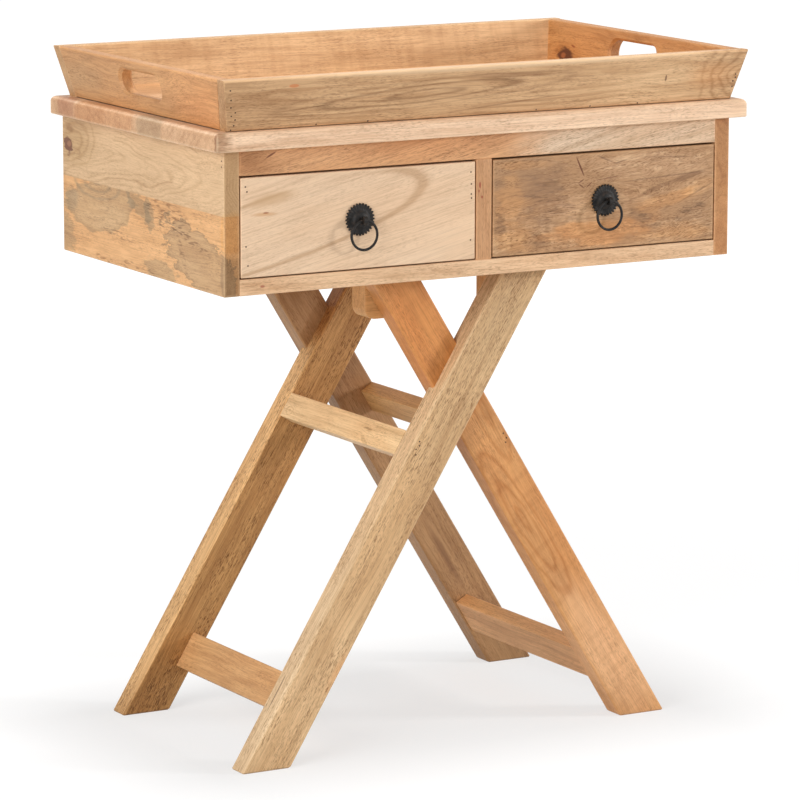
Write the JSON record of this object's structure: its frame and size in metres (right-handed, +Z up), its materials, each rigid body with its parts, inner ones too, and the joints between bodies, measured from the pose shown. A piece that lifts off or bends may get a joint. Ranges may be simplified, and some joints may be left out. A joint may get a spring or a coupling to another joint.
{
  "type": "butlers tray table",
  "caption": "Side table with a loose, flared carrying tray on a low chest of drawers with ring pulls, standing on crossed leg frames braced by stretchers.",
  "frame": {"origin": "on the floor, below the middle of the overall box", "axes": "+Z up, the drawers face -Y, +X is to the right for someone who looks at the drawers"},
  "size_m": [0.65, 0.4042, 0.746],
  "materials": {
    "tray_wood": "satin",
    "chest_wood": "satin",
    "drawer_wood": "satin",
    "lining_wood": "matte",
    "stand_wood": "satin",
    "black_iron": "matte black",
    "steel": "satin"
  },
  "bodies": {
    "chest_and_stand": {"left_side": "chest_wood", "right_side": "chest_wood", "bottom_panel": "chest_wood", "back_panel": "chest_wood", "top_rail": "chest_wood", "drawer_partition": "chest_wood", "top_panel": "chest_wood", "left_front_leg": "stand_wood", "left_front_ear": "stand_wood", "left_rear_leg": "stand_wood", "left_rear_ear": "stand_wood", "right_front_leg": "stand_wood", "right_front_ear": "stand_wood", "right_rear_leg": "stand_wood", "right_rear_ear": "stand_wood", "left_upper_stretcher": "stand_wood", "left_lower_stretcher": "stand_wood", "right_upper_stretcher": "stand_wood", "right_lower_stretcher": "stand_wood", "ear_bolts": "steel", "cross_bolts": "steel"},
    "tray": {"tray_floor": "tray_wood", "tray_front_wall": "tray_wood", "tray_back_wall": "tray_wood", "tray_left_end": "tray_wood", "tray_right_end": "tray_wood"},
    "left_drawer": {"left_drawer_front": "drawer_wood", "left_drawer_left_side": "lining_wood", "left_drawer_right_side": "lining_wood", "left_drawer_back": "lining_wood", "left_drawer_bottom": "lining_wood", "left_rosette": "black_iron", "left_eye": "black_iron", "left_nut": "steel"},
    "right_drawer": {"right_drawer_front": "drawer_wood", "right_drawer_left_side": "lining_wood", "right_drawer_right_side": "lining_wood", "right_drawer_back": "lining_wood", "right_drawer_bottom": "lining_wood", "right_rosette": "black_iron", "right_eye": "black_iron", "right_nut": "steel"},
    "left_ring": {"left_ring": "black_iron"},
    "right_ring": {"right_ring": "black_iron"}
  },
  "joints": [
    {"name": "tray_lift", "type": "slide", "parent": "chest_and_stand", "child": "tray", "axis": [0, 0, 1], "range_m": [0, 0.15]},
    {"name": "left_drawer_slide", "type": "slide", "parent": "chest_and_stand", "child": "left_drawer", "axis": [0, -1, 0], "range_m": [0, 0.25]},
    {"name": "left_ring_swing", "type": "hinge", "parent": "left_drawer", "child": "left_ring", "pos_m": [-0.15125, -0.19225, 0.5897], "axis": [-1, 0, 0], "range_deg": [-14, 190]},
    {"name": "right_drawer_slide", "type": "slide", "parent": "chest_and_stand", "child": "right_drawer", "axis": [0, -1, 0], "range_m": [0, 0.25]},
    {"name": "right_ring_swing", "type": "hinge", "parent": "right_drawer", "child": "right_ring", "pos_m": [0.15125, -0.19225, 0.5897], "axis": [-1, 0, 0], "range_deg": [-14, 190]}
  ]
}
